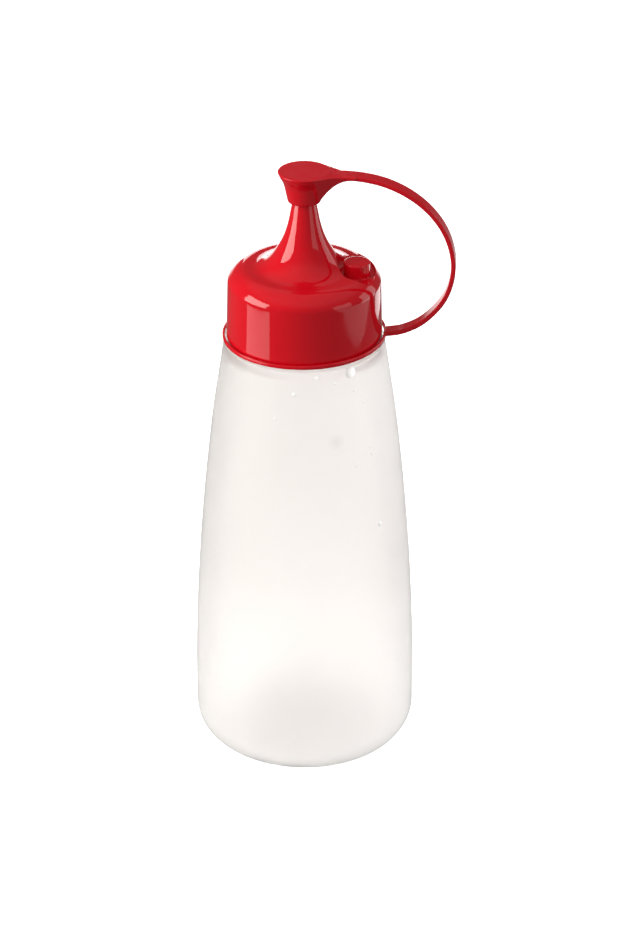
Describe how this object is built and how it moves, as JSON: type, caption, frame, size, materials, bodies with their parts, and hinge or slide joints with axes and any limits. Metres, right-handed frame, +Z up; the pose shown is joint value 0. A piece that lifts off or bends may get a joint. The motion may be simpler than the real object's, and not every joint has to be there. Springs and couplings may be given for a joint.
{
  "type": "sauce squeeze bottle",
  "caption": "Tapered translucent squeeze bottle with a red screw cap, flared nozzle, storage stud and a tethered tip cap on a looped strap.",
  "frame": {"origin": "centre of the flat base, on the bottle's axis", "axes": "+Z up along the bottle's axis to the nozzle, +X towards the strap loop and the storage stud, -Y towards the viewer of the picture"},
  "size_m": [0.0814, 0.07, 0.196],
  "materials": {
    "bottle": "milky translucent, smooth satin",
    "cap": "glossy moulded",
    "tether": "glossy moulded"
  },
  "bodies": {
    "root": {"bottle": "bottle", "cap": "cap", "tether": "tether"}
  },
  "joints": []
}
